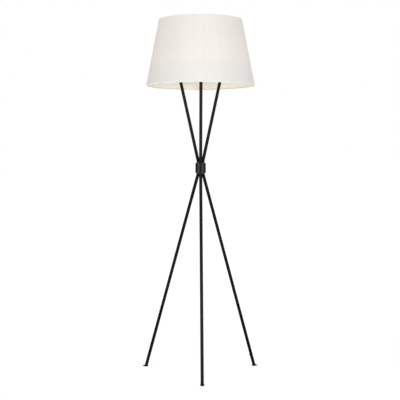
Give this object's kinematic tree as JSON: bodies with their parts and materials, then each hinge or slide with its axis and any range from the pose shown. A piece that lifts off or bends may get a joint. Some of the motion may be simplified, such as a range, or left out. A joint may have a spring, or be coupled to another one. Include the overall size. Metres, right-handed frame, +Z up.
{
  "type": "tripod floor lamp",
  "caption": "Tripod floor lamp: thin iron legs pinched at a waist collar, with rods that rise into a tapered white fabric drum shade.",
  "frame": {"origin": "middle of the lamp's bounding box on the floor; the lamp's upright axis stands 31.6 mm behind it, at x = 0", "axes": "+Z up, -Y towards the front leg, +X to the right of someone who faces the front leg"},
  "size_m": [0.529, 0.5463, 1.5777],
  "materials": {
    "iron": "aged near-black iron, fine cast texture, satin",
    "rubber": "moulded, matt",
    "zinc": "zinc plated, dull",
    "nickel": "nickel plated wire and strip, satin",
    "brass": "turned brass, slightly dull",
    "phenolic": "moulded phenolic, satin",
    "fibre": "vulcanised fibre sleeve",
    "linen": "off-white linen, fine plain weave with slubs",
    "liner": "cream styrene liner, satin",
    "hem": "folded linen tape",
    "white_wire": "white lacquered wire",
    "lamp_metal": "bulb cap, rolled",
    "opal_glass": "frosted opal",
    "filament": "phosphor coated strips on a glass stem",
    "sheath": "brown cable sheath",
    "core": "insulated core"
  },
  "bodies": {
    "stand": {"foot_front": "iron", "glide_front": "rubber", "leg_front": "iron", "rod_front": "iron", "foot_right": "iron", "glide_right": "rubber", "leg_right": "iron", "rod_right": "iron", "foot_left": "iron", "glide_left": "rubber", "leg_left": "iron", "rod_left": "iron", "leg_studs": "zinc", "collar": "iron", "rod_studs": "zinc", "bracket": "iron", "bracket_screws": "zinc", "bracket_cover": "iron", "nipple": "brass", "toothed_washer": "zinc", "lock_nut": "zinc", "harp_saddle": "nickel", "harp": "nickel", "finial_stud": "brass", "holder_cap": "iron", "cap_screw": "zinc", "holder_shell": "iron", "holder_sleeve": "fibre", "holder_body": "phenolic", "screw_shell": "brass", "centre_contact": "brass", "terminal_screws": "brass", "lamp_wire": "sheath", "wire_cores": "core", "outlet_bushing": "rubber"},
    "shade": {"shade_linen": "linen", "shade_liner": "liner", "shade_spider": "white_wire", "shade_top_ring": "white_wire", "shade_bottom_ring": "white_wire", "shade_top_hem": "hem", "shade_bottom_hem": "hem"},
    "finial": {"finial": "iron"},
    "bulb": {"bulb_base": "lamp_metal", "bulb_glass": "opal_glass", "bulb_filament": "filament"},
    "switch": {"switch_spindle": "zinc", "switch_knob": "phenolic"},
    "ferrule_right": {"harp_ferrule_right": "nickel"},
    "ferrule_left": {"harp_ferrule_left": "nickel"}
  },
  "joints": [
    {"name": "shade_turn", "type": "hinge", "parent": "stand", "child": "shade", "pos_m": [0, 0.03164, 1.5455], "axis": [0, 0, 1], "continuous": true},
    {"name": "finial_turn", "type": "hinge", "parent": "stand", "child": "finial", "pos_m": [0, 0.03164, 1.5455], "axis": [0, 0, 1], "range_deg": [0, 3600]},
    {"name": "bulb_turn", "type": "hinge", "parent": "stand", "child": "bulb", "pos_m": [0, 0.03164, 1.378], "axis": [0, 0, 1], "range_deg": [0, 1080]},
    {"name": "switch_turn", "type": "hinge", "parent": "stand", "child": "switch", "pos_m": [0, 0.03164, 1.371], "axis": [0, -1, 0], "continuous": true},
    {"name": "ferrule_right_slide", "type": "slide", "parent": "stand", "child": "ferrule_right", "axis": [0, 0, 1], "range_m": [0, 0.014]},
    {"name": "ferrule_left_slide", "type": "slide", "parent": "stand", "child": "ferrule_left", "axis": [0, 0, 1], "range_m": [0, 0.014]}
  ]
}
